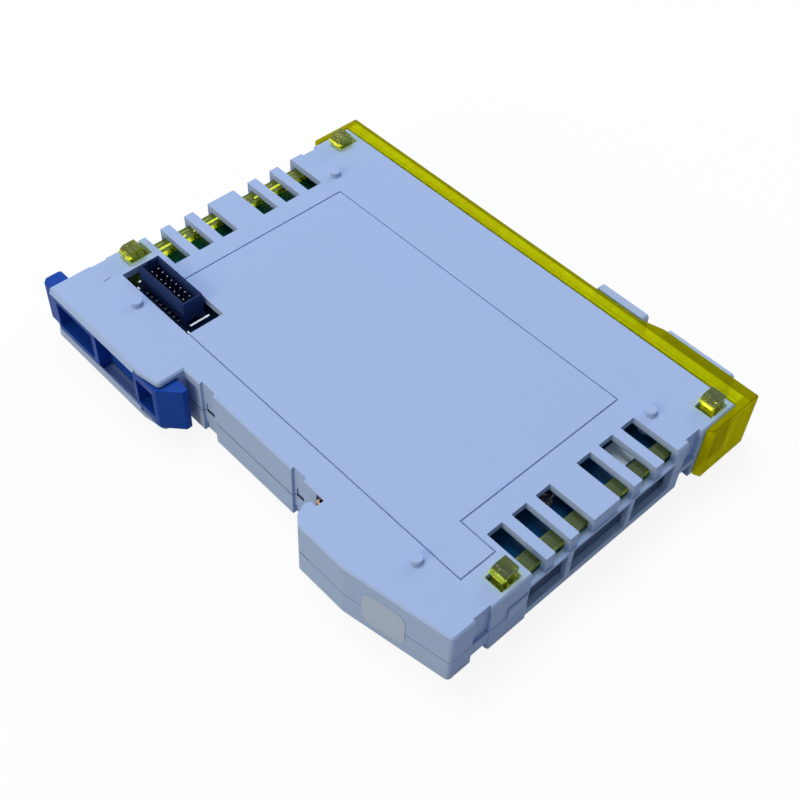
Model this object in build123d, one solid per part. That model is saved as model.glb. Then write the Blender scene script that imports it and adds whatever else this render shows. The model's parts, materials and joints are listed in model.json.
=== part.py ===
from build123d import *
import os

# Slim safety controller module for a 35 mm rail, lying on its side, in millimetres.
# X runs from the rail seat to the front, Y along the housing towards the latch knob,
# Z across the narrow width. The origin is on the rail's centre line, at half the width.

os.makedirs("parts", exist_ok=True)

# Housing of two shells
module_width = 12.5
housing_length = 100.5
housing_offset = 1.05
front_edge = 66.0
heel_depth = 6.3
lower_height = 5.2
face_wall = 1.5
side_wall = 1.3
edge_bevel = 0.35
lower_bevel = 0.15
seam_gap = 0.2
seam_depth = 0.25
foot_taper = 3.8
taper_length = 20.0

# Rail and the recess that takes it
rail_width = 35.0
rail_play = 0.2
lip_gap = 1.6
hook_rise = 1.9
recess_margin = 1.8
shoulder_rise = 5.0
notch_depth = 0.6
notch_far_start = 11.3
notch_far_length = 3.6
notch_near_start = -12.5
notch_near_length = 3.1
notch_gap_height = 0.9
notch_gap_rise = 2.1
notch_gap_margin = 0.5
notch_gap_width = 0.4

# Channel of the rail latch
channel_depth = 4.9
channel_height = 10.3
channel_wall = 1.3
channel_lip_depth = 0.35
channel_lip_height = 2.15
channel_lip_start = 25.2
channel_brim = 0.4

# Vent slots, ledges and windows at both ends
slot_width = 3.5
slot_pitch = 5.6
slots_in_group = 3
slot_length = 9.85
slot_starts = (14.6, 35.7)
ledge_height = 9.1
rib_setback = 0.3
window_height = 8.4
window_sill = 1.95
window_wall = 0.95
window_spans = ((14.7, 23.8), (25.1, 38.9), (40.2, 50.6))

# Grooves, clip tabs and bosses of the shells
end_groove_spans = ((2.3, 5.9), (53.2, 56.8))
end_groove_depths = (0.6, 0.9)
foot_notch_depths = (0.8, 1.4)
foot_notch_heights = (2.2, 3.9)
seat_foot_notch = 0.9
pad_start = 6.0
pad_end = 14.4
pad_depth = 0.3
pad_slope = 1.2
tab_start = 9.9
tab_length = 4.3
tab_height = 7.5
tab_thickness = 0.7
tab_play = 0.15
tab_head_gap = 0.3
boss_diameter = 2.3
boss_height = 0.9
boss_from_end = ((3.2, 13.8), (54.2, 9.6))
boss_from_near_end = ((3.1, 13.7), (53.4, 8.7))
post_diameter = 4.0
pin_diameter = 1.9
pin_length = 3.2
line_width = 0.25
line_depth = 0.2
field_rear = 5.7
field_step = 13.3
field_front = 51.4
field_from_end = 6.7
field_inner_from_end = 14.3

# Main board
board_thickness = 1.6
board_height = 6.7
board_margin = 0.4
board_front = 64.0

# Bus connector
header_start = 8.25
header_width = 4.4
header_low = 30.4
header_length = 13.4
header_lift = 1.2
header_floor = 1.2
header_rise = 1.6
header_wall = 0.5
header_key_width = 1.2
header_key_depth = 0.25
header_foot = 0.9
header_foot_length = 1.6
bus_positions = 8
bus_pitch = 1.35
bus_row_gap = 1.37
bus_pin_size = 0.4
bus_pin_tip = 0.12
bus_pin_sink = 0.95
bus_lead = 0.3
opening_margin_rear = 2.75
opening_margin_front = 0.65
opening_margin_low = 5.0
opening_margin_high = 1.5
socket_fit = 0.1
socket_margin = 0.7
bus_leg_gauge = 0.15
bus_leg_rise = 1.2
earth_pad = 1.2

# Front frame
frame_gap = 0.2
frame_depth = 3.5
frame_top_gap = 0.05
frame_cap = 1.4
frame_reach = 9.0
frame_step = 1.3
frame_step_end = 24.2
frame_step_start = 19.7
frame_shell = 1.7
frame_rear_setback = 0.6
frame_bevel = 0.6
frame_corner = 0.6
frame_front_bevel = 0.4
arm_thickness = 1.3
arm_width = 2.95
arm_end = 8.6
peg_height = 2.2
peg_places = ((12.85, 64.4), (11.5, 63.1))
peg_hole_starts = (8.7, 60.2)
peg_hole_length = 4.5
peg_hole_width = 3.6
peg_stem = 2.4
peg_hook = 1.2
peg_catch_rise = 0.85

# Front plugs and board sockets
pole_pitch = 3.5
plug_side = 0.5
plug_height = 9.0
plug_front = 73.2
plug_head_gap = 0.2
plug_neck_step = 0.6
plug_3_from_end = 24.4
plug_4_from_end = 4.9
plug_corner = 0.8
plug_play = 0.1
socket_wall = 0.6
socket_back = 56.0
socket_foot = 2.4
socket_back_wall = 1.4
contact_pin = 1.0
contact_level = -1.5
contact_entry = 1.4
contact_fit = 0.05
cell_wall = 1.2
cell_drop = 1.5
cell_rise = 4.7
cell_width = 2.7
funnel_width = 2.4
funnel_drop = 1.2
funnel_rise = 1.3
driver_width = 2.2
driver_height = 1.2
driver_gap = 0.2
clamp_width = 2.2
clamp_gauge = 0.4
clamp_lip = 1.0
spring_width = 2.0
spring_gauge = 0.25

# Rail latch
latch_play = 0.2
latch_web = 2.0
latch_flange = 2.0
latch_gap_start = 26.2
latch_gap_end = 37.8
latch_rib = 1.4
latch_end_wall = 0.8
latch_knob_length = 4.9
latch_knob_setback = 0.4
latch_travel = 3.0
hook_overlap = 1.45
hook_nose = 1.2
hook_length = 1.9

# Parts on the board
chip_length = 2.0
chip_width = 1.2
chip_height = 0.9
near_chips = ((29.7, 10.16), (28.5, 9.54), (38.0, 19.0), (30.0, 15.0))
far_chips = ((16.4, 11.5), (22.0, 11.5), (37.6, 12.0), (43.2, 12.0))
processor_size = 9.0
processor_height = 1.4
processor_leads = 8
lead_lift = 0.15
lead_thickness = 0.35
lead_reach = 0.9
coupler_length = 4.4
coupler_width = 3.6
coupler_height = 2.1
coupler_pitch = 6.0
inductor_size = 7.0
inductor_height = 4.2
capacitor_size = 5.4
capacitor_height = 4.6
capacitor_pitch = 8.0
lamp_count = 6
lamp_pitch = 7.0
lamp_length = 3.0
lamp_depth = 1.6
lamp_height = 1.2

# Labels
label_thickness = 0.1
code_label_start = 44.2
code_label_length = 4.4
code_label_from_end = 5.7
code_label_width = 4.7
sticker_length = 8.2
sticker_height = 8.0
sticker_corner = 2.0
sticker_place = 7.85
sticker_level = -0.4

# Derived levels
bottom = -module_width / 2
top = module_width / 2
seam = bottom + lower_height
panel_under = top - face_wall
floor_top = bottom + face_wall
near_end = housing_offset - housing_length / 2
far_end = housing_offset + housing_length / 2
near_wall = near_end + side_wall
far_wall = far_end - side_wall
heel = -heel_depth
foot = heel + foot_taper
taper_top = near_end + taper_length
undercut = -(rail_width / 2 + rail_play)
recess_top = rail_width / 2 + recess_margin
ledge = bottom + ledge_height
window_top = bottom + window_height
channel_front = heel + channel_depth
channel_top = channel_height / 2
cavity_rear = channel_front + channel_wall
board_bottom = bottom + board_height
board_top = board_bottom + board_thickness
frame_rear = front_edge + frame_gap
frame_front = frame_rear + frame_depth
frame_top = top - frame_top_gap
window_low = bottom + window_sill
tab_top = bottom + tab_height
field_low = near_end + field_from_end
field_inner_low = near_end + field_inner_from_end
field_high = far_end - field_inner_from_end
boss_places = (
    [(x, far_end - inset) for x, inset in boss_from_end]
    + [(x, near_end + inset) for x, inset in boss_from_near_end]
)
plug_3_start = near_end + plug_3_from_end
plug_4_start = near_end + plug_4_from_end
through = 5.0


def block(x_span, y_span, z_span):
    """Box between the given limits on each axis."""
    spans = (x_span, y_span, z_span)
    sizes = [high - low for low, high in spans]
    centre = [(high + low) / 2 for low, high in spans]
    return Pos(*centre) * Box(*sizes)


def outline_face(corners):
    """Closed face in the XY plane from (x, y) or (x, y, radius) corners."""
    points = [corner[:2] for corner in corners]
    radii = [corner[2] if len(corner) > 2 else 0 for corner in corners]
    return make_face(FilletPolyline(*points, radius=radii, close=True))


def plate(corners, low, high):
    """Prism with the given outline in XY between two levels."""
    return Pos(0, 0, low) * extrude(outline_face(corners), high - low, dir=(0, 0, 1))


def strip(corners, low, high):
    """Prism with the given (x, z) outline between two places along Y."""
    turned = Rot(90, 0, 0) * extrude(outline_face(corners), high - low, dir=(0, 0, 1))
    return Pos(0, high, 0) * turned


def bar(corners, low, high):
    """Prism with the given (y, z) outline between two places along X."""
    return extrude(Plane.YZ.offset(low) * outline_face(corners), high - low, dir=(1, 0, 0))


def mirrored(shape):
    """The same shape at the housing's other end."""
    return mirror(shape, about=Plane.XZ.offset(-housing_offset))


def both_ends(shape):
    return [shape, mirrored(shape)]


def rod(x, y, diameter, low, high):
    return Pos(x, y, (low + high) / 2) * Cylinder(diameter / 2, high - low)


def housing_corners():
    """Side view of the housing: foot, rail recess with its fixed hook, and latch shoulder."""
    return [
        (foot, near_end, 0.8),
        (front_edge, near_end),
        (front_edge, far_end),
        (heel, far_end, 0.4),
        (heel, recess_top + shoulder_rise, 1.5),
        (heel + 0.9, recess_top, 1.0),
        (0, recess_top),
        (0, undercut),
        (-lip_gap, undercut),
        (-lip_gap, undercut + hook_rise - 0.5, 0.45),
        (-lip_gap - 1.1, undercut + hook_rise, 0.6),
        (heel + 1.4, undercut + hook_rise / 2, 1.2),
        (heel, undercut - 0.8, 0.6),
        (heel, taper_top, 3.0),
    ]


def cavity_corners():
    """Room inside the walls, open to the front."""
    inner_heel = heel + side_wall
    open_front = front_edge + through
    return [
        (foot + side_wall + 0.2, near_wall),
        (open_front, near_wall),
        (open_front, far_wall),
        (cavity_rear, far_wall),
        (cavity_rear, recess_top + side_wall),
        (side_wall, recess_top + side_wall),
        (side_wall, undercut - side_wall),
        (inner_heel, undercut - side_wall),
        (inner_heel, taper_top),
    ]


def channel_space():
    """Channel that the latch slides in, open to the rear, the far end and the recess."""
    return block(
        (heel - through, channel_front),
        (recess_top - through, far_end + through),
        (-channel_top, channel_top),
    )


def seat_notch_places():
    """Start and length along Y of the two notches in the seat wall."""
    return ((notch_far_start, notch_far_length), (notch_near_start, notch_near_length))


def seat_notches():
    """Shallow notches over the full width of the seat wall."""
    cuts = []
    for start, length in seat_notch_places():
        cuts.append(block((-through, notch_depth), (start, start + length), (bottom - 1, top + 1)))
    return cuts


def notch_gaps():
    """Angled gap above the seam in each seat notch, through to the inside."""
    cuts = []
    for start, length in seat_notch_places():
        low = start + notch_gap_margin
        high = start + length - notch_gap_margin
        depth = (-through, side_wall + 1)
        cuts.append(block(depth, (low, high), (seam - 1, seam + notch_gap_height)))
        cuts.append(block(depth, (high - notch_gap_width, high), (seam - 1, seam + notch_gap_rise)))
    return cuts


def foot_notches():
    """Notches in the lower edge: in the seat wall and under the end grooves."""
    cuts = []
    seat_z = (bottom - 1, bottom + foot_notch_heights[0])
    for start, length in seat_notch_places():
        cuts.append(block((-through, seat_foot_notch), (start, start + length), seat_z))
    for span, depth, height in zip(end_groove_spans, foot_notch_depths, foot_notch_heights):
        cuts += both_ends(block(span, (near_end - 1, near_end + depth), (bottom - 1, bottom + height)))
    return cuts


def seam_line():
    """Fine shadow gap that runs round the housing where the shells meet."""
    outline = outline_face(housing_corners())
    inside = offset(outline, -seam_depth, kind=Kind.INTERSECTION)
    layer = block((heel - 1, front_edge + 1), (near_end - 1, far_end + 1), (seam, seam + seam_gap))
    return layer - Pos(0, 0, seam - 1) * extrude(inside, seam_gap + 2, dir=(0, 0, 1))


def slot_spans():
    spans = []
    for start in slot_starts:
        for index in range(slots_in_group):
            low = start + index * slot_pitch
            spans.append((low, low + slot_width))
    return spans


def connector_opening():
    """Opening in the panel round the bus header."""
    x_span = (header_start - opening_margin_rear, header_start + header_width + opening_margin_front)
    y_span = (header_low - opening_margin_low, header_low + header_length + opening_margin_high)
    return x_span, y_span


def peg_hole_spans():
    """Places of the four peg holes, as pairs of spans along X and Y."""
    near = (near_wall - 0.35, near_wall - 0.35 + peg_hole_width)
    far = (2 * housing_offset - near[1], 2 * housing_offset - near[0])
    spans = []
    for y_span in (near, far):
        for start in peg_hole_starts:
            spans.append(((start, start + peg_hole_length), y_span))
    return spans


def end_windows(low, high):
    """Three windows in each end wall, and the wall made thinner behind them."""
    cuts = []
    for span in window_spans:
        cuts += both_ends(block(span, (near_end - 1, near_wall + 0.5), (low, high)))
    behind_x = (window_spans[0][0], window_spans[-1][1])
    behind_y = (near_end + window_wall, near_wall + 0.5)
    cuts += both_ends(block(behind_x, behind_y, (max(low, floor_top), high)))
    return cuts


def long_edges(edges):
    """The straight runs of a rim, without the small corners of the hook."""
    return edges.filter_by(lambda edge: edge.geom_type == GeomType.LINE and edge.length > 3)


def make_upper_shell():
    """Panel with its walls down to the seam."""
    shell = plate(housing_corners(), seam, top)
    rim = shell.faces().sort_by(Axis.Z)[-1].edges()
    shell = chamfer(long_edges(rim), edge_bevel)
    shell -= plate(cavity_corners(), seam - 1, panel_under)
    shell -= channel_space()
    brim = [
        (heel, top - edge_bevel),
        (heel - channel_brim, channel_top),
        (heel + 0.5, channel_top),
        (heel + 0.5, top - edge_bevel),
    ]
    shell += strip(brim, recess_top + shoulder_rise + 1.0, far_end - edge_bevel)
    cuts = seat_notches() + notch_gaps() + end_windows(seam - 1, window_top)
    rib_x = (slot_starts[0], slot_starts[-1] + slot_pitch * (slots_in_group - 1) + slot_width)
    end_cuts = [block(rib_x, (near_end - 1, near_end + rib_setback), (ledge, top + 1))]
    for span in slot_spans():
        end_cuts.append(block(span, (near_end - 1, near_end + slot_length), (ledge, top + 1)))
    for span, depth in zip(end_groove_spans, end_groove_depths):
        end_cuts.append(block(span, (near_end - 1, near_end + depth), (seam - 1, top + 1)))
    tab_x = (tab_start - tab_play, tab_start + tab_length + tab_play)
    tab_y = (near_end - 1, near_end + tab_thickness + tab_play)
    end_cuts.append(block(tab_x, tab_y, (seam - 1, tab_top + tab_head_gap)))
    for cut in end_cuts:
        cuts += both_ends(cut)
    x_span, y_span = connector_opening()
    cuts.append(block(x_span, y_span, (panel_under - 1, top + 1)))
    for x_span, y_span in peg_hole_spans():
        cuts.append(block(x_span, y_span, (panel_under - 1, top + 1)))
    cuts += field_lines()
    cuts.append(contact_recess())
    cuts.append(seam_line())
    shell -= cuts
    for x, y in boss_places:
        boss = rod(x, y, boss_diameter, top - 0.5, top + boss_height)
        boss = chamfer(boss.edges().sort_by(Axis.Z)[-1], 0.15)
        shell += boss
        shell += rod(x, y, post_diameter - 0.8, board_top, panel_under + 0.5)
        shell += rod(x, y, pin_diameter, board_top - pin_length, board_top + 0.5)
    return shell


def field_lines():
    """Fine groove that frames the label field of the panel."""
    half = line_width / 2
    x_open, y_open = connector_opening()
    runs = [
        ((field_step, field_high), (field_front, field_high)),
        ((field_front, field_inner_low), (field_front, field_high)),
        ((field_step, field_inner_low), (field_front, field_inner_low)),
        ((field_step, field_low), (field_step, field_inner_low)),
        ((field_rear, field_low), (field_step, field_low)),
        ((field_rear, field_low), (field_rear, y_open[0] + half)),
    ]
    return [
        block((x0 - half, x1 + half), (y0 - half, y1 + half), (top - line_depth, top + 1))
        for (x0, y0), (x1, y1) in runs
    ]


def contact_recess():
    """Dark recess in the seat wall that the earth contact reaches through."""
    return block((-1, side_wall + 2.4), (undercut + 0.3, undercut + 2.1), (top - 3.6, top - 0.65))


def make_lower_shell():
    """Floor with its walls up to the seam, the channel lip, board posts and clip tabs."""
    shell = plate(housing_corners(), bottom, seam)
    rim = shell.faces().sort_by(Axis.Z)[0].edges()
    shell = chamfer(long_edges(rim), lower_bevel)
    shell -= plate(cavity_corners(), floor_top, seam + 1)
    shell -= channel_space()
    lip_y = (channel_lip_start, far_end - edge_bevel)
    shell += block((heel, heel + channel_lip_depth), lip_y, (bottom + 0.6, bottom + channel_lip_height))
    for piece in both_ends(clip_pad()):
        shell += piece
    cuts = seat_notches() + foot_notches() + end_windows(window_low, seam + 1)
    for x_span, y_span in peg_hole_spans():
        cuts.append(block(x_span, y_span, (bottom - 1, floor_top + 1)))
        hook_room = (x_span[0] - 1.6, x_span[1])
        cuts.append(block(hook_room, y_span, (bottom + peg_catch_rise, floor_top + 1)))
    socket_x, socket_y = bus_socket_spans()
    floor_x = (socket_x[0] - 1.0, socket_x[1] + 1.0)
    floor_y = (socket_y[0] - 1.3, socket_y[1] + 1.4)
    cuts.append(block(floor_x, floor_y, (bottom - 1, floor_top + 1)))
    shell -= cuts
    for x, y in boss_places:
        shell += rod(x, y, post_diameter, floor_top - 0.5, board_bottom)
    for x, y in boss_places:
        shell -= rod(x, y, pin_diameter + 0.3, board_top - pin_length - 0.3, board_bottom + 1)
        shell -= rod(x, y, boss_diameter + 0.3, bottom - 1, bottom + boss_height + 0.2)
    tab_x = (tab_start, tab_start + tab_length)
    tab = block(tab_x, (near_end - pad_depth, near_end + tab_thickness), (seam - 0.5, tab_top))
    tab = chamfer(tab.edges().group_by(Axis.Z)[-1].sort_by(Axis.Y)[0], tab_play)
    for piece in both_ends(tab):
        shell += piece
    return shell


def clip_pad():
    """Thicker part of the end wall under the clip tab, sloped towards the seam."""
    corners = [
        (near_end + 0.5, seam),
        (near_end, seam),
        (near_end - pad_depth, seam - pad_slope),
        (near_end - pad_depth, bottom + lower_bevel),
        (near_end + 0.5, bottom + lower_bevel),
    ]
    return bar(corners, pad_start, pad_end)


def make_main_board():
    """Board on the four posts, notched at the front for the two sockets."""
    rear_far = cavity_rear + board_margin
    rear_seat = side_wall + board_margin
    rear_near = foot + side_wall + board_margin
    low = near_wall + board_margin
    high = far_wall - board_margin
    corners = [
        (rear_near, low),
        (board_front, low),
        (board_front, high),
        (rear_far, high),
        (rear_far, recess_top + side_wall + board_margin),
        (rear_seat, recess_top + side_wall + board_margin),
        (rear_seat, undercut - side_wall - board_margin),
        (rear_near, undercut - side_wall - board_margin),
    ]
    board = plate(corners, board_bottom, board_top)
    for x, y in boss_places:
        board -= rod(x, y, pin_diameter + 0.3, board_bottom - 1, board_top + 1)
    for start, poles in plugs():
        low, high = socket_span(start, poles)
        notch_x = (socket_back + socket_foot - 0.2, board_front + 1)
        board -= block(notch_x, (low - 0.2, high + 0.2), (board_bottom - 1, board_top + 1))
        leg_x = leg_span()
        for y in pole_places(start, poles):
            half = contact_pin / 2 + 2 * contact_fit
            x_span = (leg_x[0] - 2 * contact_fit, leg_x[1] + 2 * contact_fit)
            board -= block(x_span, (y - half, y + half), (board_bottom - 1, board_top + 1))
    return board


def header_top():
    return top + header_rise


def header_rows():
    middle = header_start + header_width / 2
    return (middle - bus_row_gap / 2, middle + bus_row_gap / 2)


def bus_places():
    middle = header_low + header_length / 2
    first = middle - bus_pitch * (bus_positions - 1) / 2
    return [first + index * bus_pitch for index in range(bus_positions)]


def make_bus_header():
    """Shrouded header body, lifted off the board on four feet."""
    x_span = (header_start, header_start + header_width)
    y_span = (header_low, header_low + header_length)
    base = board_top + header_lift
    body = block(x_span, y_span, (base, header_top()))
    inner_x = (x_span[0] + header_wall, x_span[1] - header_wall)
    inner_y = (y_span[0] + header_wall, y_span[1] - header_wall)
    body -= block(inner_x, inner_y, (base + header_floor, header_top() + 1))
    middle = (x_span[0] + x_span[1]) / 2
    key = (middle - header_key_width / 2, middle + header_key_width / 2)
    key_y = (inner_y[1] - 0.1, inner_y[1] + header_key_depth)
    body -= block(key, key_y, (base + header_floor, header_top() + 1))
    for x in (x_span[0], x_span[1] - header_foot):
        for y in (y_span[0], y_span[1] - header_foot_length):
            body += block((x, x + header_foot), (y, y + header_foot_length), (board_top, base + 0.5))
    half = bus_pin_size / 2 + 0.05
    for x in header_rows():
        for y in bus_places():
            body -= block((x - half, x + half), (y - half, y + half), (base - 1, base + header_floor + 1))
    return body


def make_bus_header_pins():
    """Sixteen pins, each with a soldered lead turned outwards under the body."""
    half = bus_pin_size / 2
    tip = header_top() - bus_pin_sink
    rear_row, front_row = header_rows()
    pins = []
    header_front = header_start + header_width
    for x, reach in ((rear_row, header_start - bus_lead), (front_row, header_front + bus_lead)):
        for y in bus_places():
            x_span = sorted((x + half if reach < x else x - half, reach))
            pin = block((x - half, x + half), (y - half, y + half), (board_top, tip))
            pin = chamfer(pin.faces().sort_by(Axis.Z)[-1].edges(), bus_pin_tip)
            pin += block(x_span, (y - half, y + half), (board_top, board_top + bus_pin_size))
            pins.append(pin)
    return Compound(children=pins)


def bus_socket_spans():
    """Plan of the socket that fits inside the shroud of the next module's header."""
    gap = header_wall + socket_fit
    x_span = (header_start + gap, header_start + header_width - gap)
    y_span = (header_low + socket_margin, header_low + header_length - socket_margin)
    return x_span, y_span


def make_bus_socket():
    x_span, y_span = bus_socket_spans()
    low = bottom + 0.15
    body = block(x_span, y_span, (low, board_bottom))
    half = bus_pin_size / 2 + 0.15
    for x in header_rows():
        for y in bus_places():
            body -= block((x - half, x + half), (y - half, y + half), (low - 1, board_bottom - 0.8))
    return body


def make_bus_socket_contacts():
    """Spring legs in the socket's holes, standing beside the pin's path."""
    contacts = []
    half = bus_pin_size / 2 + 0.1
    for x in header_rows():
        for y in bus_places():
            leg_y = (y - half, y - half + bus_leg_gauge)
            leg_z = (bottom + bus_leg_rise, board_bottom - 0.85)
            contacts.append(block((x - half, x + half), leg_y, leg_z))
    return Compound(children=contacts)


def arm_span():
    """Near arm of the front frame, just inside the end wall."""
    low = near_wall + frame_gap
    return (low, low + arm_width)


def frame_corners():
    """Front view outline of the frame in XY, with its two end caps."""
    cap_inner_low = near_end - 0.1
    cap_inner_high = far_end + 0.1
    cap_low = cap_inner_low - frame_cap
    cap_high = cap_inner_high + frame_cap
    cap_rear = frame_rear - frame_reach + frame_rear_setback
    return [
        (cap_rear, cap_inner_low),
        (cap_rear + frame_bevel, cap_low),
        (frame_front + frame_step, cap_low, frame_corner),
        (frame_front + frame_step, near_end + frame_step_start, 2.0),
        (frame_front, near_end + frame_step_end, 2.0),
        (frame_front, cap_high, frame_corner),
        (cap_rear + frame_bevel, cap_high),
        (cap_rear, cap_inner_high),
        (frame_rear, cap_inner_high),
        (frame_rear, cap_inner_low),
    ]


def peg(right, y_span):
    """Snap peg: a stem with a hook towards the rear and a sloped lead-in."""
    tip = top + peg_height
    left = right - peg_stem
    arm_top = arm_level()[1]
    corners = [
        (right, arm_top - 0.5),
        (right, tip),
        (left, tip),
        (left - peg_hook * 0.7, tip - 0.5),
        (left - peg_hook, tip - 1.35),
        (left, tip - 1.5),
        (left, arm_top - 0.5),
    ]
    return strip(corners, *y_span)


def arm_level():
    high = panel_under - frame_top_gap
    return (high - arm_thickness, high)


def make_front_frame():
    """Front bar with end caps, two arms under the panel and four pegs through it."""
    frame = plate(frame_corners(), bottom, frame_top)
    front_edges = frame.faces().sort_by(Axis.Z)[-1].edges().filter_by(Axis.Y).sort_by(Axis.X)[-2:]
    frame = chamfer(front_edges, frame_front_bevel)
    near_arm = arm_span()
    low_z, high_z = arm_level()
    pocket_y = (near_arm[1], 2 * housing_offset - near_arm[1])
    frame -= block((frame_rear - 1, frame_front - frame_shell), pocket_y, (-high_z, high_z))
    for start, poles in plugs():
        low, high = plug_span(start, poles)
        step = plug_neck_step - 2 * plug_play
        window_z = plug_height / 2 - plug_neck_step + 2 * plug_play
        window_x = (frame_front - frame_shell - 1, frame_front + frame_step + 1)
        frame -= block(window_x, (low + step, high - step), (-window_z, window_z))
    near_pegs, far_pegs = peg_places
    arm = block((arm_end, frame_rear + 0.5), near_arm, (low_z, high_z))
    for piece in both_ends(arm):
        frame += piece
    far_arm = (2 * housing_offset - near_arm[1], 2 * housing_offset - near_arm[0])
    for right in near_pegs:
        frame += peg(right, near_arm)
    for right in far_pegs:
        frame += peg(right, far_arm)
    return frame


def plugs():
    """Start along Y and number of poles of each plug."""
    return ((plug_3_start, 3), (plug_4_start, 4))


def plug_span(start, poles):
    return (start, start + poles * pole_pitch + 2 * plug_side)


def pole_places(start, poles):
    return [start + plug_side + pole_pitch * (index + 0.5) for index in range(poles)]


def socket_span(start, poles):
    low, high = plug_span(start, poles)
    outer = plug_neck_step - 2 * plug_play - socket_wall
    return (low + outer, high - outer)


def leg_span():
    """Place along X of the soldered legs of the socket's pins."""
    middle = socket_back + socket_foot / 2
    return (middle - contact_pin / 2, middle + contact_pin / 2)


def make_board_socket(start, poles):
    """Shroud in the board's notch, its foot under the board, open to the front."""
    low, high = socket_span(start, poles)
    half = plug_height / 2 - plug_neck_step + 2 * plug_play + socket_wall - 0.1
    inner_z = half - socket_wall
    step = socket_back + socket_foot
    body = block((step, front_edge - 0.1), (low, high), (-half, half))
    body += block((socket_back, step), (low, high), (-half, board_bottom))
    room_x = (step + socket_back_wall, front_edge + 1)
    body -= block(room_x, (low + socket_wall, high - socket_wall), (-inner_z, inner_z))
    leg_x = leg_span()
    fit = contact_pin / 2 + contact_fit
    for y in pole_places(start, poles):
        slot_x = (leg_x[0] - contact_fit, leg_x[1] + contact_fit)
        body -= block(slot_x, (y - fit, y + fit), (contact_level - fit, board_bottom + 1))
        bore_x = (leg_x[0], step + socket_back_wall + 1)
        body -= block(bore_x, (y - fit, y + fit), (contact_level - fit, contact_level + fit))
    return body


def make_board_pins(start, poles):
    """Angled pins, soldered in the board and reaching forward into the shroud."""
    half = contact_pin / 2
    leg_x = leg_span()
    pins = []
    for y in pole_places(start, poles):
        across = (y - half, y + half)
        pin = block((leg_x[0], contact_tip()), across, (contact_level - half, contact_level + half))
        pin += block(leg_x, across, (contact_level, board_top + 0.7))
        pins.append(pin)
    return Compound(children=pins)


def neck_rear():
    return socket_back + socket_foot + socket_back_wall + plug_play


def contact_tip():
    """Place along X that the socket's pins reach to, inside the plug's cells."""
    return neck_rear() + cell_wall + contact_entry


def cell_limits():
    """Cell of one pole inside a plug, along X and Z."""
    x_span = (neck_rear() + cell_wall, frame_front + frame_step)
    return x_span, (contact_level - cell_drop, contact_level + cell_rise)


def make_plug_body(start, poles):
    """Plug with a flanged head, a neck into the socket, and a cell for each pole."""
    low, high = plug_span(start, poles)
    half = plug_height / 2
    head_x = (frame_front + frame_step + plug_head_gap, plug_front)
    body = block(head_x, (low, high), (-half, half))
    body = fillet(body.edges().filter_by(Axis.X), plug_corner)
    body = chamfer(body.faces().sort_by(Axis.X)[-1].edges(), 0.3)
    neck_y = (low + plug_neck_step, high - plug_neck_step)
    neck_z = half - plug_neck_step
    body += block((neck_rear(), head_x[0] + 0.5), neck_y, (-neck_z, neck_z))
    cell_x, cell_z = cell_limits()
    mouth_x = (cell_x[1] - 1, plug_front + 1)
    funnel_z = (contact_level - funnel_drop, contact_level + funnel_rise)
    driver_z = (cell_z[1] - driver_gap - driver_height, cell_z[1] - driver_gap)
    port = contact_pin / 2 + driver_gap
    for y in pole_places(start, poles):
        body -= block(cell_x, (y - cell_width / 2, y + cell_width / 2), cell_z)
        body -= block(mouth_x, (y - funnel_width / 2, y + funnel_width / 2), funnel_z)
        body -= block(mouth_x, (y - driver_width / 2, y + driver_width / 2), driver_z)
        body -= block(
            (neck_rear() - 1, cell_x[0] + 1),
            (y - port, y + port),
            (contact_level - port, contact_level + port),
        )
    return body


def make_plug_clamps(start, poles):
    """Current bars: a folded strip on the floor of each cell, with a finger under the pin."""
    cell_x, cell_z = cell_limits()
    low = cell_z[0] + contact_fit
    rear = cell_x[0] + 0.2
    front = cell_x[1] - 1.6
    finger = contact_level - contact_pin / 2 - contact_fit
    corners = [
        (rear, low),
        (front, low),
        (front, low + clamp_lip),
        (front - clamp_gauge, low + clamp_lip),
        (front - clamp_gauge, low + clamp_gauge),
        (rear + contact_entry + 1.0, low + clamp_gauge),
        (rear + contact_entry + 0.6, finger),
        (rear, finger),
    ]
    half = clamp_width / 2
    return Compound(children=[strip(corners, y - half, y + half) for y in pole_places(start, poles)])


def make_plug_springs(start, poles):
    """Clamping springs: a strip along the cell's roof, bent back down to the current bar."""
    cell_x, cell_z = cell_limits()
    high = cell_z[1] - contact_fit
    rear = contact_tip() + 0.5
    front = cell_x[1] - 3.5
    low = contact_level - contact_pin / 2
    corners = [
        (front, high),
        (rear, high),
        (rear - 0.3, high - 1.0),
        (front - 0.4, low),
        (front - 0.1, low + 0.2),
        (rear + 0.1, high - 0.9),
        (rear + 0.3, high - spring_gauge),
        (front, high - spring_gauge),
    ]
    half = spring_width / 2
    return Compound(children=[strip(corners, y - half, y + half) for y in pole_places(start, poles)])


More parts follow.
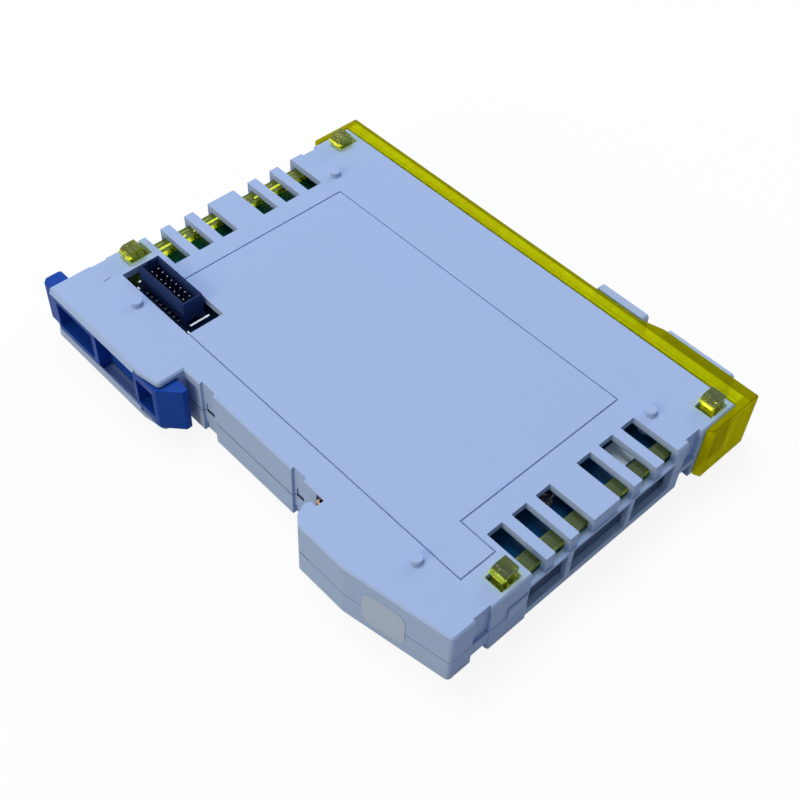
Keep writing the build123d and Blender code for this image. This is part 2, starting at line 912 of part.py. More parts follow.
def make_rail_latch():
    """Sliding latch: web with two flanges, ribs, hook wedge and finger knob."""
    half = channel_top - latch_play
    inner_z = half - latch_flange
    web_front = channel_front - latch_play - 0.1
    web_rear = web_front - latch_web
    edge = heel + 0.1
    body_low = recess_top + 0.7
    body_high = far_end - latch_end_wall / 2
    latch = block((edge, web_front), (body_low, body_high), (-half, half))
    outside = (edge - 1, web_rear)
    pocket_low = body_low + 0.6
    latch -= block(outside, (pocket_low, latch_gap_start - latch_end_wall), (-inner_z, inner_z))
    latch -= block(outside, (latch_gap_start, latch_gap_end), (-half - 1, half + 1))
    latch -= block(outside, (latch_gap_end + latch_rib, body_high - latch_end_wall), (-inner_z, inner_z))
    lip_x = (edge - 1, heel + channel_lip_depth + latch_play)
    lip_y = (channel_lip_start - latch_travel - latch_play, body_high + 1)
    lip_level = bottom + channel_lip_height + latch_play
    latch -= block(lip_x, lip_y, (-half - 1, lip_level))
    nose = rail_width / 2 - hook_overlap
    wedge = [
        (web_front, body_low + 0.6),
        (edge, body_low + 0.6),
        (edge + 0.1, recess_top + 0.2, 0.3),
        (web_front - hook_nose, nose, 0.3),
        (web_front + 0.1, nose, 0.3),
        (web_front + 0.1, recess_top + 0.2),
        (web_front, recess_top + 0.5),
    ]
    latch += plate(wedge, -half, half)
    knob_low = body_high - 0.3
    knob_high = body_high + latch_knob_length - latch_end_wall
    knob_rear = edge + latch_knob_setback
    knob = [
        (web_front, knob_low),
        (knob_rear, knob_low),
        (knob_rear, knob_high - 0.9, 0.5),
        (knob_rear + 0.9, knob_high, 0.6),
        (web_front, knob_high, 0.6),
    ]
    latch += plate(knob, lip_level, half)
    return latch


def make_earth_contact():
    """Bent bronze strip from the undercut through the recess down to the board."""
    gauge = 0.3
    level = (top - 2.7, top - 0.9)
    shelf = (undercut + 1.0, undercut + 1.0 + gauge)
    foot_x = side_wall + 1.8
    strip_part = block((-0.8, foot_x), shelf, level)
    strip_part += block((-0.8, -0.8 + gauge), (undercut + 0.15, shelf[1]), level)
    strip_part += block((foot_x - gauge, foot_x), shelf, (board_top, level[1]))
    pad_y = (shelf[0], shelf[1] + earth_pad)
    strip_part += block((foot_x - gauge, foot_x + earth_pad), pad_y, (board_top, board_top + gauge))
    return strip_part


def leaded_package(x, y, length, width, height, leads, lead_axis):
    """Chip body on a row of gull leads along two of its sides."""
    half_length = length / 2
    half_width = width / 2
    body = block(
        (x - half_length, x + half_length),
        (y - half_width, y + half_width),
        (board_top + lead_lift, board_top + height),
    )
    pitch = (length if lead_axis == "x" else width) / leads
    half = pitch * 0.22
    for index in range(leads):
        place = (index - (leads - 1) / 2) * pitch
        if lead_axis == "x":
            x_span = (x + place - half, x + place + half)
            y_span = (y - half_width - lead_reach, y + half_width + lead_reach)
        else:
            x_span = (x - half_length - lead_reach, x + half_length + lead_reach)
            y_span = (y + place - half, y + place + half)
        body += block(x_span, y_span, (board_top, board_top + lead_thickness))
    return body


def make_processor(x, y):
    """Square package with leads on all four sides."""
    size = (processor_size, processor_size, processor_height, processor_leads)
    return leaded_package(x, y, *size, "x") + leaded_package(x, y, *size, "y")


def make_bus_interface_chip():
    """Driver of the module bus, in front of the header."""
    return leaded_package(header_start + 12.0, header_low + 3.5, 5.3, 6.2, 1.75, 8, "y")


def make_supply_inductor():
    """Wound inductor in a square base under the board."""
    x, y = 22.0, 12.0
    half = inductor_size / 2
    base = block((x - half, x + half), (y - half, y + half), (board_bottom - 0.8, board_bottom))
    core = rod(x, y, inductor_size - 0.6, board_bottom - inductor_height, board_bottom - 0.5)
    return base + core


def make_supply_capacitors():
    """Three round capacitors on square bases under the board."""
    cans = []
    x = 32.0
    half = capacitor_size / 2
    for index in range(3):
        y = index * capacitor_pitch
        base = block((x - half, x + half), (y - half, y + half), (board_bottom - 0.9, board_bottom))
        can = rod(x, y, capacitor_size - 0.4, board_bottom - capacitor_height, board_bottom - 0.5)
        cans.append(base + can)
    return Compound(children=cans)


def make_signal_couplers():
    """Couplers that separate the input channels, in a row behind the two sockets."""
    x = socket_back - 10.0
    first = near_end + 15.7
    places = [first + index * coupler_pitch for index in range(4)]
    size = (coupler_length, coupler_width, coupler_height, 2)
    return Compound(children=[leaded_package(x, y, *size, "y") for y in places])


def make_small_components():
    """Chip resistors and capacitors on the upper side of the board."""
    places = [(x, near_wall + inset - side_wall) for x, inset in near_chips]
    places += [(x, far_wall - inset) for x, inset in far_chips]
    chips = []
    for x, y in places:
        x_span = (x - chip_width / 2, x + chip_width / 2)
        y_span = (y - chip_length / 2, y + chip_length / 2)
        chips.append(block(x_span, y_span, (board_top, board_top + chip_height)))
    return Compound(children=chips)


def make_status_leds():
    """Row of side-looking lamps at the front edge of the board."""
    lamps = []
    for index in range(lamp_count):
        y = header_low - index * lamp_pitch
        x_span = (board_front - lamp_depth, board_front)
        y_span = (y - lamp_length / 2, y + lamp_length / 2)
        lamps.append(block(x_span, y_span, (board_top, board_top + lamp_height)))
    return Compound(children=lamps)


def make_code_label():
    """Blank white label on the board under the fifth slot."""
    low = near_end + code_label_from_end
    x_span = (code_label_start, code_label_start + code_label_length)
    return block(x_span, (low, low + code_label_width), (board_top, board_top + label_thickness))


def make_inspection_sticker():
    """Blank round-cornered sticker on the slanted foot, across the seam."""
    face_start = Vector(heel, taper_top)
    face_end = Vector(foot, near_end)
    along = (face_end - face_start).normalized()
    outward = Vector(along.Y, -along.X)
    if outward.X > 0:
        outward = -outward
    centre = face_start + along * sticker_place
    plane = Plane(
        origin=(centre.X, centre.Y, sticker_level),
        x_dir=(along.X, along.Y, 0),
        z_dir=(outward.X, outward.Y, 0),
    )
    return extrude(plane * RectangleRounded(sticker_length, sticker_height, sticker_corner), label_thickness)


nodes = {
    "upper_shell": make_upper_shell(),
    "lower_shell": make_lower_shell(),
    "front_frame": make_front_frame(),
    "rail_latch": make_rail_latch(),
    "main_board": make_main_board(),
    "bus_header": make_bus_header(),
    "bus_header_pins": make_bus_header_pins(),
    "bus_socket": make_bus_socket(),
    "bus_socket_contacts": make_bus_socket_contacts(),
    "earth_contact": make_earth_contact(),
    "processor_a": make_processor(26.0, -14.0),
    "processor_b": make_processor(42.0, -2.0),
    "bus_interface_chip": make_bus_interface_chip(),
    "supply_inductor": make_supply_inductor(),
    "supply_capacitors": make_supply_capacitors(),
    "signal_couplers": make_signal_couplers(),
    "small_components": make_small_components(),
    "status_leds": make_status_leds(),
    "code_label": make_code_label(),
    "inspection_sticker": make_inspection_sticker(),
}
for start, poles in plugs():
    nodes[f"plug_{poles}_body"] = make_plug_body(start, poles)
    nodes[f"plug_{poles}_clamps"] = make_plug_clamps(start, poles)
    nodes[f"plug_{poles}_springs"] = make_plug_springs(start, poles)
    nodes[f"board_socket_{poles}"] = make_board_socket(start, poles)
    nodes[f"board_pins_{poles}"] = make_board_pins(start, poles)

for name, shape in nodes.items():
    export_step(shape, f"parts/{name}.step")
    print(name, len(shape.solids()), round(shape.volume, 1))
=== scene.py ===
import json
import math

import bmesh
import bpy
from mathutils import Matrix, Vector

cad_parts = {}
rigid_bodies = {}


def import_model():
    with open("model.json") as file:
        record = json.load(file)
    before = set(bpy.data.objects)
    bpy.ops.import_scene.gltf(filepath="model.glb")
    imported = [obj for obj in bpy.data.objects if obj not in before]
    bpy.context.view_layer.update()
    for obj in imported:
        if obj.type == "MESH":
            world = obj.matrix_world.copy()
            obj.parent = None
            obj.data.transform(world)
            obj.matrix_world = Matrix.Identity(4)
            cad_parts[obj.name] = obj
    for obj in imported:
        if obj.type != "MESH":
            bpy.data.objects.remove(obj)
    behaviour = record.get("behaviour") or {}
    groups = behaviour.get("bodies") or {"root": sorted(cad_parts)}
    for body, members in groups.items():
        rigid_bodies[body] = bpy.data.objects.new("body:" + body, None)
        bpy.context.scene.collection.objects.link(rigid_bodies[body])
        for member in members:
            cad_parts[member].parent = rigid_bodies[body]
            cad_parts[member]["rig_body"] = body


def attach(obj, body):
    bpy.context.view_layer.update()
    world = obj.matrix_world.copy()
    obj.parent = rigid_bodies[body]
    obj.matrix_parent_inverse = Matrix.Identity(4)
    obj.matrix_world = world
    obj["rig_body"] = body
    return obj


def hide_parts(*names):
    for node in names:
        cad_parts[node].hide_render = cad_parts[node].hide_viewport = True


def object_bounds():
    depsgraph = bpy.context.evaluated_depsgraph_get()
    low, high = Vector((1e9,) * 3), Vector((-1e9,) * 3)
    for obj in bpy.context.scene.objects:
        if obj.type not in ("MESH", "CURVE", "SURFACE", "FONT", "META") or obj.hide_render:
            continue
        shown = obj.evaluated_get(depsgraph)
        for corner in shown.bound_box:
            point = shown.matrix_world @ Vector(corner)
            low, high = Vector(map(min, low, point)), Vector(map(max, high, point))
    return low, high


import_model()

cad_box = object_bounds()
millimetre = 0.001


# Camera
# The module lies on its side and is seen from above its rail side, at the angle of the
# photograph: a normal lens, about 22 cm from the middle of the module, with no shift.
scene = bpy.context.scene
scene.view_settings.view_transform = "Standard"
camera_place = Vector((-0.07426, -0.10522, 0.16545))
camera_right = Vector((0.72889, -0.68352, 0.03908))
camera_up = Vector((0.50198, 0.57237, 0.64839))
camera_back = Vector((-0.46555, -0.45298, 0.76031))
camera_data = bpy.data.cameras.new("camera")
camera_data.sensor_width = 36.0
camera_data.lens = 55.486
camera_data.clip_start = 0.01
camera = bpy.data.objects.new("camera", camera_data)
camera.matrix_world = Matrix((
    (camera_right.x, camera_up.x, camera_back.x, camera_place.x),
    (camera_right.y, camera_up.y, camera_back.y, camera_place.y),
    (camera_right.z, camera_up.z, camera_back.z, camera_place.z),
    (0, 0, 0, 1),
))
scene.collection.objects.link(camera)
scene.camera = camera


class Wire:
    """A value that varies over a surface; arithmetic on it adds Math nodes."""

    def __init__(self, finish, socket):
        self.finish = finish
        self.socket = socket

    def maths(self, operation, *values):
        return self.finish.node("ShaderNodeMath", {"operation": operation}, dict(enumerate(values)))

    def __add__(self, other):
        return self.maths("ADD", self, other)

    def __radd__(self, other):
        return self.maths("ADD", other, self)

    def __sub__(self, other):
        return self.maths("SUBTRACT", self, other)

    def __rsub__(self, other):
        return self.maths("SUBTRACT", other, self)

    def __mul__(self, other):
        return self.maths("MULTIPLY", self, other)

    def __truediv__(self, other):
        return self.maths("DIVIDE", self, other)

    def __lt__(self, other):
        return self.maths("LESS_THAN", self, other)

    def __gt__(self, other):
        return self.maths("GREATER_THAN", self, other)

    def size(self):
        return self.maths("ABSOLUTE", self)

    def most(self, other):
        return self.maths("MAXIMUM", self, other)

    def clamped(self):
        return self.finish.node("ShaderNodeClamp", {}, {0: self})

    def away_from(self, middle):
        """The distance from a middle, to either side of it."""
        return (self - middle).size()

    def within(self, low, high):
        """1 between the two limits and 0 outside them."""
        return (self > low) * (self < high)


class Finish:
    """A material being mixed: one shader, and any node by its type, settings and inputs."""

    def __init__(self, name, **sockets):
        self.material = bpy.data.materials.new(name)
        self.material.use_nodes = True
        self.nodes = self.material.node_tree.nodes
        self.links = self.material.node_tree.links
        self.shader = self.nodes["Principled BSDF"]
        for socket, value in sockets.items():
            self.set(socket.replace("_", " ").title().replace("Ior", "IOR"), value)

    def feed(self, socket, value):
        if isinstance(value, Wire):
            self.links.new(value.socket, socket)
        elif hasattr(value, "__len__") and len(value) == 3 and len(socket.default_value) == 4:
            socket.default_value = (*value, 1.0)
        else:
            socket.default_value = value

    def node(self, kind, settings, inputs, output=0):
        made = self.nodes.new(kind)
        for name, value in settings.items():
            setattr(made, name, value)
        for name, value in inputs.items():
            self.feed(made.inputs[name], value)
        return Wire(self, made.outputs[output])

    def set(self, socket, value):
        self.feed(self.shader.inputs[socket], value)

    def place(self):
        return self.node("ShaderNodeTexCoord", {}, {}, "Object")

    def split(self, vector):
        made = self.node("ShaderNodeSeparateXYZ", {}, {0: vector})
        return [Wire(self, socket) for socket in made.socket.node.outputs]

    def axes(self):
        """The place on the module, along each axis."""
        return self.split(self.place())

    def facing(self):
        """The way the surface faces, along each axis."""
        return self.split(self.node("ShaderNodeNewGeometry", {}, {}, "Normal"))

    def noise(self, per_metre, detail=2.0, roughness=0.5):
        inputs = {"Vector": self.place(), "Scale": per_metre, "Detail": detail, "Roughness": roughness}
        return self.node("ShaderNodeTexNoise", {}, inputs)

    def between(self, mask, first, second):
        """First colour where the mask is 0, second where it is 1.

        The sockets of the mix node go by number, because several have the same name."""
        settings = {"data_type": "RGBA"}
        return self.node("ShaderNodeMix", settings, {0: mask, 6: first, 7: second}, 2)

    def bump(self, height, depth, strength):
        inputs = {"Height": height, "Distance": depth, "Strength": strength}
        self.set("Normal", self.node("ShaderNodeBump", {}, inputs))

    def grained(self, grain, first, second, share, depth, strength):
        """Two close colours mixed by a grain that also roughens the surface."""
        self.set("Base Color", self.between(grain * share, first, second))
        self.bump(grain, depth, strength)

    def dress(self, *pieces):
        """Give the finish to carried-over nodes, by name, or to new pieces."""
        for piece in pieces:
            found = bpy.data.objects[piece] if isinstance(piece, str) else piece
            slots = found.data.materials
            if len(slots) == 0:
                slots.append(self.material)
            for index in range(len(slots)):
                slots[index] = self.material


def darker(colour, share):
    return [share * part for part in colour]


fine_depth = 0.01 * millimetre
coarse_depth = 0.02 * millimetre


# Floor, backdrop and lamps
# A plain white floor and backdrop that stay white behind the module, with its soft shadow,
# one large cool softbox overhead, a warmer one from the rail side and a weak one from the
# front. The floor and the backdrop are dimmer and bluer where they only light the module.
floor_gap = 0.02 * millimetre
floor_level = cad_box[0][2] - floor_gap
sheet = bmesh.new()
bmesh.ops.create_grid(sheet, x_segments=1, y_segments=1, size=3.0)
bmesh.ops.translate(sheet, verts=sheet.verts, vec=(0, 0, floor_level))
floor_mesh = bpy.data.meshes.new("floor")
sheet.to_mesh(floor_mesh)
floor = bpy.data.objects.new("floor", floor_mesh)
scene.collection.objects.link(floor)

glow_share = 0.88
white = Finish("floor_white", roughness=0.9)
rays = white.node("ShaderNodeLightPath", {}, {})
outlets = rays.socket.node.outputs
seen = Wire(white, outlets["Is Camera Ray"])
seen = seen.most(Wire(white, outlets["Is Glossy Ray"])).most(Wire(white, outlets["Is Transmission Ray"]))
white.set("Base Color", white.between(seen, (0.33, 0.37, 0.41), (0.95, 0.95, 0.95)))
glow = white.node("ShaderNodeEmission", {}, {"Color": (1, 1, 1, 1), "Strength": 1.0})
plain = Wire(white, white.shader.outputs[0])
mixed = white.node("ShaderNodeMixShader", {}, {0: seen * glow_share, 1: plain, 2: glow})
white.links.new(mixed.socket, white.nodes["Material Output"].inputs["Surface"])
white.dress(floor)

world = bpy.data.worlds.new("studio")
scene.world = world
world.use_nodes = True
sky = world.node_tree


def larger(first, second):
    """The larger of two values of the world."""
    made = sky.nodes.new("ShaderNodeMath")
    made.operation = "MAXIMUM"
    sky.links.new(first, made.inputs[0])
    sky.links.new(second, made.inputs[1])
    return made.outputs[0]


backdrop = sky.nodes["Background"]
path = sky.nodes.new("ShaderNodeLightPath").outputs
direct = larger(path["Is Camera Ray"], larger(path["Is Transmission Ray"], path["Is Glossy Ray"]))
strength = sky.nodes.new("ShaderNodeMapRange")
strength.inputs["To Min"].default_value = 0.30
strength.inputs["To Max"].default_value = 1.0
sky.links.new(direct, strength.inputs["Value"])
sky.links.new(strength.outputs["Result"], backdrop.inputs["Strength"])
tint = sky.nodes.new("ShaderNodeMix")
tint.data_type = "RGBA"
tint.inputs[6].default_value = (0.78, 0.88, 1.0, 1.0)
tint.inputs[7].default_value = (1.0, 1.0, 1.0, 1.0)
sky.links.new(direct, tint.inputs[0])
sky.links.new(tint.outputs[2], backdrop.inputs["Color"])


def softbox(name, place, aim, width, height, watts, colour):
    lamp = bpy.data.lights.new(name, "AREA")
    lamp.shape = "RECTANGLE"
    lamp.size = width
    lamp.size_y = height
    lamp.energy = watts
    lamp.color = colour
    holder = bpy.data.objects.new(name, lamp)
    holder.location = place
    holder.rotation_euler = (Vector(aim) - Vector(place)).to_track_quat("-Z", "Y").to_euler()
    scene.collection.objects.link(holder)


aim = (0.03, 0.0, 0.0)
softbox(
    "overhead", (0.2, 0.9, 1.9), aim, width=1.2, height=1.2, watts=29.4, colour=(0.90, 0.927, 1.0),
)
softbox(
    "rail_side", (-1.8, 0.2, 0.75), aim, width=0.9, height=0.7, watts=18.2, colour=(1.0, 0.838, 0.53),
)
softbox(
    "front_side", (1.8, 0.3, 0.6), aim, width=0.7, height=0.5, watts=9.0, colour=(1.0, 0.98, 0.94),
)


# Moulded pieces
# Copies with rounded edges. Points closer together than a share of the edge radius are
# merged, because very short edges fold when they are rounded. Narrow ledges stay sharp.
merge_share = 0.4
ledge_share = 4.0
flat_turn = math.radians(0.5)
curve_turn = 0.01
corner_turn = math.radians(28.0)


def moulded(node, radius):
    """A copy of a moulded node, merged, with its edges as round as the mould leaves them."""
    work = bmesh.new()
    work.from_mesh(bpy.data.objects[node].data)
    bmesh.ops.remove_doubles(work, verts=work.verts, dist=merge_share * radius)
    bmesh.ops.dissolve_limit(work, angle_limit=flat_turn, verts=work.verts, edges=work.edges)
    ledges = set()
    for face in work.faces:
        turns = [edge.calc_face_angle(math.pi) for edge in face.edges]
        longest = max(edge.calc_length() for edge in face.edges)
        face.smooth = any(curve_turn < turn < corner_turn for turn in turns)
        alone = all(turn > corner_turn for turn in turns)
        if alone and face.calc_area() < ledge_share * radius * longest:
            ledges.add(face)
    weight = work.edges.layers.float.new("bevel_weight_edge")
    for edge in work.edges:
        if edge.calc_face_angle(0.0) > corner_turn and ledges.isdisjoint(edge.link_faces):
            edge[weight] = 1.0
    mesh = bpy.data.meshes.new(node + "_moulded")
    work.to_mesh(mesh)
    if "custom_normal" in mesh.attributes:
        mesh.attributes.remove(mesh.attributes["custom_normal"])
    piece = bpy.data.objects.new(node + "_moulded", mesh)
    scene.collection.objects.link(piece)
    edges = piece.modifiers.new("edges", "BEVEL")
    edges.width = radius
    edges.segments = 2
    edges.limit_method = "WEIGHT"
    edges.use_clamp_overlap = False
    shading = piece.modifiers.new("shading", "WEIGHTED_NORMAL")
    shading.weight = 90
    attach(piece, bpy.data.objects[node]["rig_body"])
    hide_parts(node)
    return piece


# Housing shells
# Two halves moulded in light blue ABS with a fine spark-eroded skin, closed along the seam
# and clipped by the tabs at both ends. They carry a little dust, a few specks and one short
# scratch. The panel's groove and the seam in the rail seat lie in painted shade, and beside
# the holes of the yellow pegs the panel carries a painted green glow from them.
panel_level = 5.9 * millimetre
shell_blue = (0.350, 0.468, 0.745)
shell = Finish("shell_plastic", roughness=0.5, ior=1.5, specular_ior_level=0.12)
grain = shell.noise(5200.0, 3.0, 0.6)
cloud = shell.noise(60.0, 3.0)
across, along, height = shell.axes()
on_panel = height > panel_level
colour = shell.between(cloud * 0.35, shell_blue, darker(shell_blue, 0.94))
dust = shell.noise(700.0, 1.0) > 0.83
colour = shell.between(dust * 0.35, colour, (0.16, 0.20, 0.30))

speck_reach = 0.22 * millimetre
speck_places = ((54.5, -23.2), (57.2, -33.4), (58.7, -18.9), (64.0, -39.0), (0.4, 38.3), (-4.7, 35.4))
for speck_x, speck_y in speck_places:
    aside = across.away_from(speck_x * millimetre)
    ahead = along.away_from(speck_y * millimetre)
    speck = (1 - (aside + ahead) / speck_reach).clamped() * on_panel
    colour = shell.between(speck * 0.6, colour, (0.13, 0.17, 0.28))

scratch_middle = (2.75 * millimetre, 46.1 * millimetre)
scratch_slope = 0.09
scratch_half_length = 0.85 * millimetre
scratch_half_width = 0.17 * millimetre
aside = across - scratch_middle[0]
ahead = (along - scratch_middle[1] - aside * scratch_slope).size()
scratch = (aside.size() < scratch_half_length) * (1 - ahead / scratch_half_width).clamped() * on_panel
colour = shell.between(scratch * 0.95, colour, (0.06, 0.07, 0.10))

# Painted glow: around each peg hole the panel is tinted green, for yellow light from the pegs.
hole_length = 4.5 * millimetre
hole_width = 3.6 * millimetre
glow_reach = 1.5 * millimetre
for hole_x in (10.95, 62.45):
    for hole_y in (-46.45, 48.55):
        aside = across.away_from(hole_x * millimetre) - hole_length / 2
        ahead = along.away_from(hole_y * millimetre) - hole_width / 2
        peg_glow = (1 - aside.most(ahead) / glow_reach).clamped() * on_panel
        colour = shell.between(peg_glow * peg_glow * 0.55, colour, (0.34, 0.50, 0.36))

groove_low = 5.95 * millimetre
groove_high = 6.15 * millimetre
groove = height.within(groove_low, groove_high) * (shell.facing()[2] > 0.9)
colour = shell.between(groove * 0.7, colour, (0.075, 0.115, 0.24))

seam_low = -1.07 * millimetre
seam_high = -0.83 * millimetre
seat_depth = 3.0 * millimetre
seat_reach = 21.0 * millimetre
seam = height.within(seam_low, seam_high) * (across < seat_depth) * (along.size() < seat_reach)
colour = shell.between(seam * 0.8, colour, (0.06, 0.08, 0.13))

shell.set("Base Color", colour)
shell.set("Roughness", 0.44 + grain * 0.12)
shell.bump(grain, 0.03 * millimetre, 0.35)
shell_rounding = 0.05 * millimetre
for half in ("upper_shell", "lower_shell"):
    shell.dress(moulded(half, shell_rounding))


# Front frame
# One clear yellow moulding: the front bar with its two end caps, the arms that run back
# under the panel, and the four snap pegs that stand through it. The thick bar and caps look
# cloudy, the thin arms and pegs clear. The caps, the outer edge of the bar and a line along
# its inner edge are darker.
frame_middle = 1.05 * millimetre
front_panel_edge = 66.1 * millimetre
thick_reach = 50.3 * millimetre
clear = Finish("frame_yellow", roughness=0.05, ior=1.45)
clear.set("Transmission Weight", 0.93)
across, along, height = clear.axes()
above_panel = height > panel_level
# Painted light on the arms and pegs: faces turned up are a darker green-yellow in the near half and
# bright yellow in the far half, and side faces are bright yellow.
upward = clear.facing()[2].size()
painted_top_light = clear.between(along > 0.0, (0.45, 0.62, 0.12), (0.80, 0.90, 0.03))
clear.set("Base Color", clear.between(upward * upward, (0.86, 0.92, 0.02), painted_top_light))

streak_stretch = (1.0, 1.0, 0.12)
streaks = clear.node("ShaderNodeTexNoise", {}, {
    "Vector": clear.node("ShaderNodeMapping", {}, {0: clear.place(), "Scale": streak_stretch}),
    "Scale": 900.0, "Detail": 2.0,
})
flow = clear.noise(70.0, 3.0)
olive = (0.52, 0.50, 0.003)
bright = (0.70, 0.90, 0.005)
colour = clear.between((streaks * 0.7 + flow * 0.6 - 0.35).clamped(), olive, bright)
# Painted light on the bar and caps: faces turned towards the ends take a deeper yellow, streaked like
# the rest.
endways = clear.facing()[1].size()
painted_end_tone = clear.between((streaks * 1.6 - 0.45).clamped(), (0.60, 0.50, 0.002), (0.86, 0.80, 0.004))
colour = clear.between(endways, colour, painted_end_tone)

outer_band_start = 68.5 * millimetre
outer_band = (across > outer_band_start) * above_panel
colour = clear.between(outer_band * 0.85, colour, (0.22, 0.215, 0.001))

cap_reach = 50.0 * millimetre
cap_zone = (along.away_from(frame_middle) > cap_reach) * above_panel
colour = clear.between(cap_zone * 0.7, colour, (0.27, 0.245, 0.001))

line_middle = 66.85 * millimetre
line_half_width = 0.14 * millimetre
inner_line = (1 - across.away_from(line_middle) / line_half_width).clamped() * above_panel
colour = clear.between(inner_line * (0.2 + flow), colour, (0.24, 0.26, 0.001))

cloudy = clear.nodes.new("ShaderNodeBsdfPrincipled")
cloudy.inputs["Transmission Weight"].default_value = 0.40
cloudy.inputs["IOR"].default_value = 1.01
cloudy.inputs["Specular IOR Level"].default_value = 0.05
cloudy.inputs["Roughness"].default_value = 0.14
clear.feed(cloudy.inputs["Base Color"], colour)
ripple = clear.noise(420.0, 2.0)
dimple = clear.node("ShaderNodeBump", {}, {
    "Height": ripple, "Distance": 0.06 * millimetre, "Strength": 0.25,
})
clear.set("Normal", dimple)
clear.feed(cloudy.inputs["Normal"], dimple)
thick = (across > front_panel_edge).most(along.away_from(frame_middle) > thick_reach)
mixed = clear.node("ShaderNodeMixShader", {}, {
    0: thick, 1: Wire(clear, clear.shader.outputs[0]), 2: Wire(clear, cloudy.outputs[0]),
})
clear.links.new(mixed.socket, clear.nodes["Material Output"].inputs["Surface"])
clear.dress(moulded("front_frame", 0.08 * millimetre))


# Rail latch
# Dark blue nylon slide with a rib, a hook wedge and a rounded finger knob.
nylon = Finish("latch_nylon", roughness=0.40, ior=1.5, specular_ior_level=0.05)
skin = nylon.noise(3000.0, 2.0)
tone = nylon.noise(110.0, 2.0)
colour = nylon.between(tone, (0.007, 0.048, 0.30), (0.010, 0.068, 0.40))
nylon.set("Base Color", nylon.between(skin * 0.3, colour, (0.012, 0.078, 0.44)))
nylon.bump(skin, coarse_depth, 0.3)
nylon.dress(moulded("rail_latch", 0.12 * millimetre))


# Main board
# Glass-fibre board under a dark solder mask, blue at the near end, greener towards the far
# one and darkest along the rail side, where shade is painted, with fine tracks, printed marks
# and one white printed bar. The print glows a little, because little light reaches it through
# the openings.
rail_strip = 14 * millimetre
greener_start = 20 * millimetre
greener_length = 20 * millimetre
board = Finish("board_mask", roughness=0.28, ior=1.5, specular_ior_level=0.08)
across, along, height = board.axes()
tracks = board.node("ShaderNodeTexBrick", {}, {
    "Vector": board.place(), "Color1": (0, 0, 0, 1), "Color2": (0, 0, 0, 1), "Mortar": (1, 1, 1, 1),
    "Scale": 260.0, "Mortar Size": 0.035, "Brick Width": 0.9, "Row Height": 0.28,
})
greener = ((along - greener_start) / greener_length).clamped() * (across > rail_strip)
colour = board.between(greener, (0.004, 0.060, 0.170), (0.004, 0.085, 0.090))
# Painted shade: the board along the rail side is darker.
colour = board.between(across < rail_strip, colour, (0.005, 0.022, 0.070))
colour = board.between(tracks * 0.2, colour, (0.010, 0.085, 0.200))

# The middle and the half sizes of each printed mark, in millimetres; the first is the bar.
print_marks = (
    (11.35, 30.28, 2.15, 0.2),
    (9.06, 45.7, 0.25, 0.2),
    (7.86, 44.4, 0.12, 0.35),
    (7.98, 29.1, 0.12, 0.4),
)
lit = (0, 0, 0)
for mark_x, mark_y, half_length, half_width in print_marks:
    aside = across.away_from(mark_x * millimetre) < half_length * millimetre
    ahead = along.away_from(mark_y * millimetre) < half_width * millimetre
    colour = board.between(aside * ahead, colour, (0.96, 0.98, 1.0))
    lit = board.between(aside * ahead, lit, (0.55, 0.60, 0.66))
board.set("Base Color", colour)
board.set("Emission Color", lit)
board.set("Emission Strength", 1.0)
board.bump(tracks, coarse_depth, 0.5)
board.dress("main_board")


# Bus connector
# Shrouded two-row header in navy plastic, darker on top with painted shade, with tinned pins
# that carry painted shade along their sides, and the socket under the board.
header = Finish("header_navy", roughness=0.42, ior=1.5, specular_ior_level=0.06)
sheen = header.noise(4000.0)
colour = header.between(sheen * 0.4, (0.022, 0.044, 0.165), (0.026, 0.054, 0.205))
# Painted shade: faces turned up are darker.
header.set("Base Color", header.between(header.facing()[2].clamped(), colour, (0.008, 0.019, 0.075)))
header.bump(sheen, coarse_depth, 0.3)
header.dress(moulded("bus_header", 0.06 * millimetre), "bus_socket")

shaded_pin_tin = Finish("header_pin_tin", metallic=1.0, roughness=0.34)
# Painted shade: the pins are dark except on their tips, which face straight up.
tip = shaded_pin_tin.facing()[2] > 0.95
shaded_pin_tin.set("Base Color", shaded_pin_tin.between(tip, (0.03, 0.035, 0.05), (0.30, 0.30, 0.30)))
shaded_pin_tin.bump(shaded_pin_tin.noise(6000.0), fine_depth, 0.3)
shaded_pin_tin.dress("bus_header_pins")


# Contacts
# Tinned pins, clamps and springs, and the bronze earth contact.
tin = Finish("tinned_contacts", metallic=1.0, roughness=0.28)
wear = tin.noise(2600.0, 3.0)
tin.set("Base Color", tin.between(wear * 0.5, (0.86, 0.86, 0.84), (0.62, 0.61, 0.58)))
tin.bump(tin.noise(6000.0), fine_depth, 0.3)
tin.dress(
    "bus_socket_contacts", "board_pins_3", "board_pins_4", "plug_3_clamps", "plug_4_clamps",
    "plug_3_springs", "plug_4_springs",
)

bronze = Finish("contact_bronze", metallic=1.0, roughness=0.35)
stain = bronze.noise(1800.0, 3.0)
bronze.set("Base Color", bronze.between(stain, (0.24, 0.17, 0.11), (0.15, 0.10, 0.06)))
bronze.bump(bronze.noise(2500.0), fine_depth, 0.3)
bronze.dress("earth_contact")


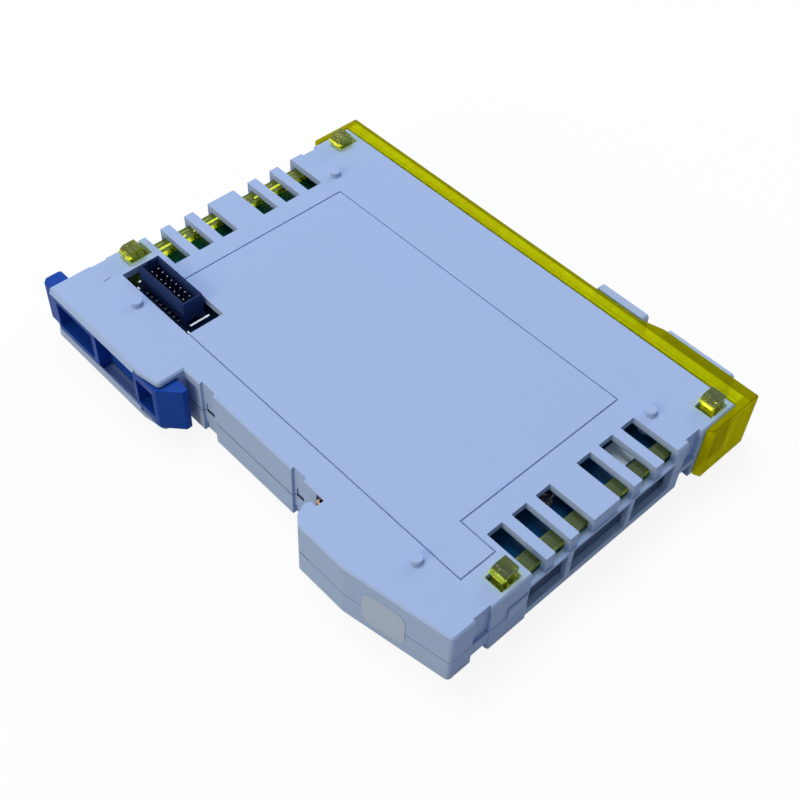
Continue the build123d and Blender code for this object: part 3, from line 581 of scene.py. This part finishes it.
# Parts on the board
# Moulded packages, wound inductor, capacitor cans, chip parts and clear status lamps.
package = Finish("package_black", roughness=0.55)
pits = package.noise(5000.0)
package.grained(
    pits, (0.014, 0.015, 0.018), (0.034, 0.035, 0.038), share=0.5, depth=coarse_depth, strength=0.4,
)
package.dress("processor_a", "processor_b", "bus_interface_chip", "supply_inductor", "signal_couplers")

can = Finish("capacitor_can", metallic=1.0, roughness=0.3)
brush = can.noise(2500.0)
can.grained(
    brush, (0.76, 0.77, 0.79), (0.60, 0.61, 0.63), share=0.5, depth=fine_depth, strength=0.3,
)
can.dress("supply_capacitors")

ceramic = Finish("chip_ceramic", roughness=0.35)
pale_spot = ceramic.noise(1500.0) > 0.6
ceramic.set("Base Color", ceramic.between(pale_spot, (0.085, 0.08, 0.09), (0.80, 0.80, 0.78)))
ceramic.bump(ceramic.noise(4000.0), fine_depth, 0.3)
ceramic.dress("small_components")

lamp_clear = Finish("lamp_clear", roughness=0.15)
haze = lamp_clear.noise(2500.0)
lamp_clear.grained(
    haze, (0.85, 0.88, 0.86), (0.76, 0.80, 0.80), share=1.0, depth=fine_depth, strength=0.3,
)
lamp_clear.dress("status_leds")


# Labels
# Two paper labels, both left blank: a white one on the board, and a pale grey-blue one with
# round corners across the seam.
for label, tone in (("code_label", (0.80, 0.87, 0.97)), ("inspection_sticker", (0.45, 0.54, 0.74))):
    paper = Finish(label + "_paper", roughness=0.5, specular_ior_level=0.12)
    fibres = paper.noise(2500.0, 4.0)
    paper.grained(fibres, tone, darker(tone, 0.86), share=0.5, depth=fine_depth, strength=0.4)
    paper.dress(label)


# Front plugs
# Pale blue plug bodies with a wire funnel and a tool slot for each pole, and the dark
# sockets on the board that take them.
plug_rounding = 0.06 * millimetre
plug = Finish("plug_pale", roughness=0.45, ior=1.5, specular_ior_level=0.25)
satin = plug.noise(4500.0)
plug.grained(
    satin, (0.40, 0.50, 0.73), (0.36, 0.45, 0.67), share=0.4, depth=coarse_depth, strength=0.3,
)
for body in ("plug_3_body", "plug_4_body"):
    plug.dress(moulded(body, plug_rounding))

socket_black = Finish("socket_black", roughness=0.5)
matt = socket_black.noise(4500.0)
socket_black.grained(
    matt, (0.022, 0.022, 0.026), (0.044, 0.044, 0.048), share=0.5, depth=coarse_depth, strength=0.3,
)
socket_black.dress("board_socket_3", "board_socket_4")
